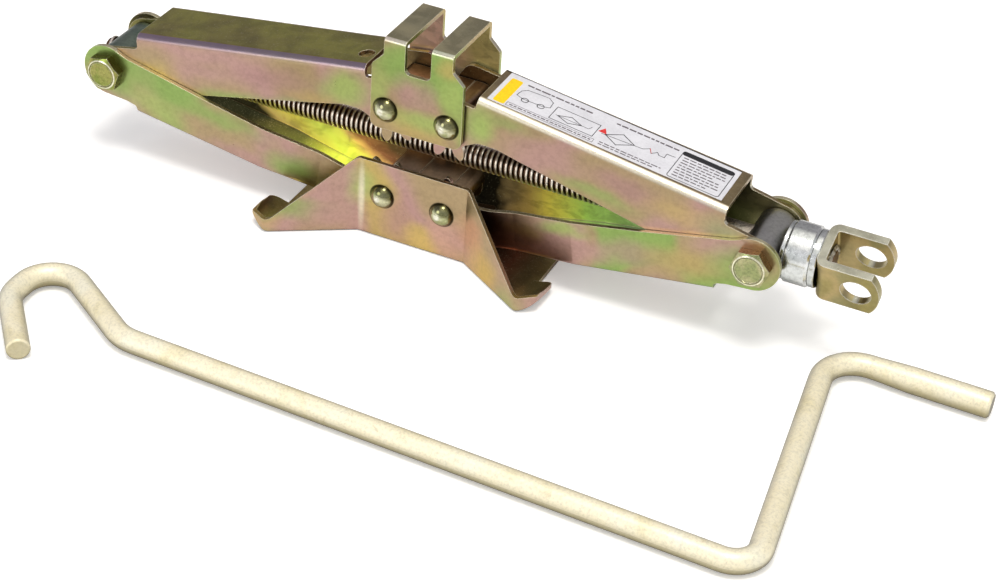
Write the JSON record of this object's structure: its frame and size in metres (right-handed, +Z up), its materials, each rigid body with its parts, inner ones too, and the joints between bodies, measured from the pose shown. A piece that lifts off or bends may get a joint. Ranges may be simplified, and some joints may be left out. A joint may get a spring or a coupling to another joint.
{
  "type": "scissor stabilizer jack",
  "caption": "Scissor stabilizer jack with geared pressed-steel arms, slotted top saddle, bow-tie foot, side power screw ending in a yoke, and a loose bent crank handle.",
  "frame": {"origin": "centre of the foot's flat underside, on the ground", "axes": "+Z up through the saddle, +X along the power screw toward its yoke, +Y across the jack"},
  "size_m": [0.5315, 0.2672, 0.124],
  "materials": {
    "zinc_arm": "yellow-passivated zinc plate, satin, with drifting green, gold, pink and olive-brown interference colour",
    "zinc_saddle": "yellow-passivated zinc plate, satin, paler and pinker than the arms",
    "zinc_foot": "yellow-passivated zinc plate, satin",
    "zinc_spacer": "yellow-passivated zinc plate, dull brown-violet",
    "zinc_rivet": "yellow-passivated zinc plate, glossy domes",
    "zinc_bolt": "yellow-passivated zinc plate, glossy",
    "trunnion_dark": "dark teal passivated steel, satin",
    "trunnion_grey": "grey passivated steel with a lavender sheen",
    "screw_bronze": "rolled thread, dark bronze passivated, bright crests",
    "plated_steel": "bright plated steel, turned",
    "bearing_steel": "ground bearing steel",
    "zinc_yoke": "yellow-passivated zinc plate, rough sheared edges",
    "weld_bead": "rippled weld bead, plated over",
    "label_film": "printed white film, slightly glossy",
    "zinc_rod": "pale cream-gold zinc plate, satin"
  },
  "bodies": {
    "base": {"foot": "zinc_foot", "foot_spacer": "zinc_spacer", "rivet_lower_left": "zinc_rivet", "rivet_lower_right": "zinc_rivet"},
    "lower_left": {"lower_left_arm": "zinc_arm"},
    "lower_right": {"lower_right_arm": "zinc_arm"},
    "left_trunnion": {"trunnion_nut": "trunnion_dark", "pivot_bolt_left_front": "zinc_bolt", "pivot_bolt_left_rear": "zinc_bolt"},
    "upper_left": {"upper_left_arm": "zinc_arm"},
    "saddle": {"top_saddle": "zinc_saddle", "saddle_spacer": "zinc_spacer", "rivet_upper_left": "zinc_rivet", "rivet_upper_right": "zinc_rivet"},
    "upper_right": {"upper_right_arm": "zinc_arm", "instruction_label": "label_film"},
    "right_trunnion": {"trunnion_thrust": "trunnion_grey", "pivot_bolt_right_front": "zinc_bolt", "pivot_bolt_right_rear": "zinc_bolt", "washer_trunnion": "plated_steel", "bearing_race_fixed": "bearing_steel", "bearing_balls": "bearing_steel", "bearing_cage": "plated_steel"},
    "screw": {"power_screw": "screw_bronze", "bearing_race_turning": "bearing_steel", "bearing_cup": "plated_steel", "washer_yoke": "plated_steel", "yoke": "zinc_yoke", "yoke_weld": "weld_bead"},
    "crank": {"crank_handle": "zinc_rod"}
  },
  "joints": [
    {"name": "fold", "type": "hinge", "parent": "base", "child": "lower_left", "pos_m": [-0.018, 0, 0.02672], "axis": [0, 1, 0], "range_deg": [-1.5, 56]},
    {"name": "lower_right_fold", "type": "hinge", "parent": "base", "child": "lower_right", "pos_m": [0.018, 0, 0.02672], "axis": [0, 1, 0], "range_deg": [-56, 1.5]},
    {"name": "left_trunnion_turn", "type": "hinge", "parent": "lower_left", "child": "left_trunnion", "pos_m": [-0.19245, 0, 0.054], "axis": [0, 1, 0], "range_deg": [-56, 1.5]},
    {"name": "upper_left_fold", "type": "hinge", "parent": "lower_left", "child": "upper_left", "pos_m": [-0.19245, 0, 0.054], "axis": [0, 1, 0], "range_deg": [-112, 3]},
    {"name": "saddle_level", "type": "hinge", "parent": "upper_left", "child": "saddle", "pos_m": [-0.018, 0, 0.08128], "axis": [0, 1, 0], "range_deg": [-1.5, 56]},
    {"name": "upper_right_fold", "type": "hinge", "parent": "saddle", "child": "upper_right", "pos_m": [0.018, 0, 0.08128], "axis": [0, 1, 0], "range_deg": [-1.5, 56]},
    {"name": "right_trunnion_turn", "type": "hinge", "parent": "lower_right", "child": "right_trunnion", "pos_m": [0.19245, 0, 0.054], "axis": [0, 1, 0], "range_deg": [-1.5, 56]},
    {"name": "screw_spin", "type": "hinge", "parent": "right_trunnion", "child": "screw", "pos_m": [0.19245, 0, 0.054], "axis": [1, 0, 0], "continuous": true},
    {"name": "crank_away", "type": "slide", "parent": "base", "child": "crank", "axis": [0, -1, 0], "range_m": [0, 0.3]}
  ],
  "couplings": [
    {"joint": "lower_right_fold", "follows": "fold", "ratio": -1},
    {"joint": "left_trunnion_turn", "follows": "fold", "ratio": -1},
    {"joint": "upper_left_fold", "follows": "fold", "ratio": -2},
    {"joint": "saddle_level", "follows": "fold", "ratio": 1},
    {"joint": "upper_right_fold", "follows": "fold", "ratio": 1},
    {"joint": "right_trunnion_turn", "follows": "fold", "ratio": 1}
  ]
}
